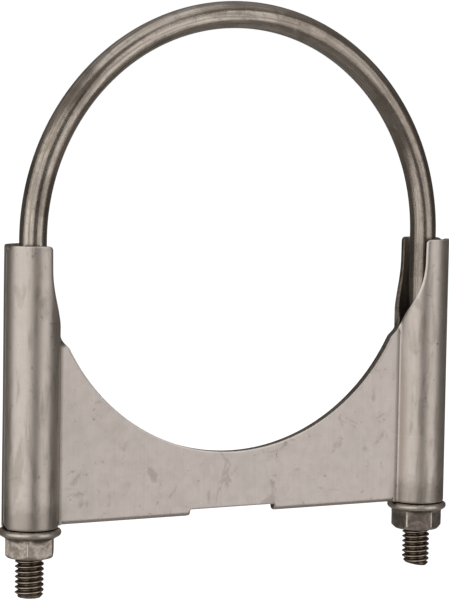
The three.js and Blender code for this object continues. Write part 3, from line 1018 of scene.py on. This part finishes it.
# The studio as seen in the metal: greys by height, from straight down (0) to straight up (1)
STUDIO_DOWN = (0.34, 0.33, 0.32, 1)
STUDIO_UP = (0.5, 0.5, 0.5, 1)
STUDIO_GREYS = ((0.38, 0.16), (0.5, 0.09), (0.62, 0.1), (0.85, 0.3))
STUDIO_TINT = (1.06, 1.0, 0.92)


def add_camera():
    yaw, pitch = CAMERA_YAW, CAMERA_PITCH
    forward = Vector((
        math.sin(yaw) * math.cos(pitch), math.cos(yaw) * math.cos(pitch), -math.sin(pitch)
    ))
    level = Vector((math.cos(yaw), -math.sin(yaw), 0))
    upright = level.cross(forward)
    right = level * math.cos(CAMERA_ROLL) + upright * math.sin(CAMERA_ROLL)
    up = upright * math.cos(CAMERA_ROLL) - level * math.sin(CAMERA_ROLL)
    camera = bpy.data.objects.new("camera", bpy.data.cameras.new("camera"))
    camera.data.lens = CAMERA_LENS
    camera.data.clip_start = 0.05
    turn = Matrix((right, up, -forward)).transposed().to_4x4()
    place = (Vector(CAMERA_TARGET) - forward * CAMERA_DISTANCE) * MM
    camera.matrix_world = Matrix.Translation(place) @ turn
    bpy.context.scene.collection.objects.link(camera)
    bpy.context.scene.camera = camera


def add_softbox(name, bearing_deg, height_deg, distance, size, radiance, tint=(1, 1, 1)):
    """A rectangular light facing the clamp. The bearing is measured round from the camera's side,
    positive to its right; the size is (width, height) in metres."""
    bearing = math.radians(bearing_deg) - CAMERA_YAW
    height = math.radians(height_deg)
    away = Vector((
        math.sin(bearing) * math.cos(height), -math.cos(bearing) * math.cos(height), math.sin(height)
    ))
    light = bpy.data.lights.new(name, "AREA")
    light.shape = "RECTANGLE"
    light.size, light.size_y = size
    light.energy = radiance * math.pi * size[0] * size[1]
    light.color = tint
    lamp = bpy.data.objects.new(name, light)
    lamp.location = Vector(LIGHTS_AIM) + away * distance
    lamp.rotation_mode = "QUATERNION"
    lamp.rotation_quaternion = away.to_track_quat("Z", "Y")
    lamp.visible_camera = False
    bpy.context.scene.collection.objects.link(lamp)


def add_world():
    """Dim surroundings for the metal to reflect: a paler ceiling and floor, darkest at the sides."""
    world = bpy.data.worlds.new("studio")
    bpy.context.scene.world = world
    world.use_nodes = True
    tree = world.node_tree
    background = tree.nodes["Background"]
    direction = tree.nodes.new("ShaderNodeTexCoord")
    parts = tree.nodes.new("ShaderNodeSeparateXYZ")
    ramp = tree.nodes.new("ShaderNodeValToRGB")
    spread = tree.nodes.new("ShaderNodeMapRange")
    tree.links.new(direction.outputs["Generated"], parts.inputs["Vector"])
    tree.links.new(parts.outputs["Z"], spread.inputs["Value"])
    spread.inputs["From Min"].default_value = -1
    tree.links.new(spread.outputs["Result"], ramp.inputs["Fac"])
    tree.links.new(ramp.outputs["Color"], background.inputs["Color"])
    stops = ramp.color_ramp.elements
    stops[0].position, stops[0].color = 0.0, STUDIO_DOWN
    stops[1].position, stops[1].color = 1.0, STUDIO_UP
    for position, grey in STUDIO_GREYS:
        stop = stops.new(position)
        stop.color = (*(tint * grey for tint in STUDIO_TINT), 1)


def pale_material(name, albedo, glow):
    """Plain matt paint that also gives a little light of its own, so that it stays even and pale."""
    m = Shader(name, metallic=0.0)
    m.bsdf.inputs["Base Color"].default_value = (albedo, albedo, albedo, 1)
    m.bsdf.inputs["Roughness"].default_value = 1.0
    m.bsdf.inputs["Specular IOR Level"].default_value = 0.0
    m.bsdf.inputs["Emission Color"].default_value = (1, 1, 1, 1)
    m.bsdf.inputs["Emission Strength"].default_value = glow
    return m.material


def add_stage():
    """A wide pale floor under a pale dome. The metal reflects the lights and the studio, not the dome."""
    floor_z = (LEG_END_Z - FLOOR_DROP) * MM
    bm = bmesh.new()
    bmesh.ops.create_circle(bm, cap_ends=True, radius=FLOOR_R, segments=96)
    mesh = bpy.data.meshes.new("floor")
    bm.to_mesh(mesh)
    bm.free()
    floor = bpy.data.objects.new("floor", mesh)
    floor.location.z = floor_z
    mesh.materials.append(pale_material("floor_paint", 0.8, 0.8))
    bm = bmesh.new()
    bmesh.ops.create_uvsphere(bm, u_segments=48, v_segments=24, radius=DOME_R)
    mesh = bpy.data.meshes.new("backdrop")
    bm.to_mesh(mesh)
    bm.free()
    dome = bpy.data.objects.new("backdrop", mesh)
    mesh.materials.append(pale_material("backdrop_paint", 0.0, 1.0))
    for thing in (floor, dome):
        bpy.context.scene.collection.objects.link(thing)
        thing.visible_glossy = False
    dome.visible_diffuse = False
    dome.visible_shadow = False


def add_lights():
    add_softbox(
        "softbox_left", bearing_deg=-38.5, height_deg=4, distance=0.9, size=(1.56, 1.2),
        radiance=1.02, tint=(1, 0.985, 0.96),
    )
    add_softbox(
        "softbox_right", bearing_deg=56.5, height_deg=0, distance=0.9, size=(0.74, 1.2),
        radiance=0.92, tint=(1, 0.985, 0.97),
    )
    add_softbox(
        "top_light", bearing_deg=20, height_deg=75, distance=1.1, size=(0.9, 0.9), radiance=0.6,
    )


# ------------------------------------------------------------------ the clamp

add_camera()
add_world()
add_lights()
add_stage()
bpy.context.scene.view_settings.view_transform = "Standard"

finish_piece(build_saddle([sheet_steel(), cut_steel()]), "saddle", "saddle")
finish_piece(build_rod([rod_steel(), thread_steel(), end_steel()]), "u_bolt", "u_bolt")
nut_material = nut_steel()
for side, sign in (("left", -1), ("right", 1)):
    nut = build_nut(side, sign, [nut_material])
    finish_piece(nut, f"nut_{side}", f"nut_{side}")
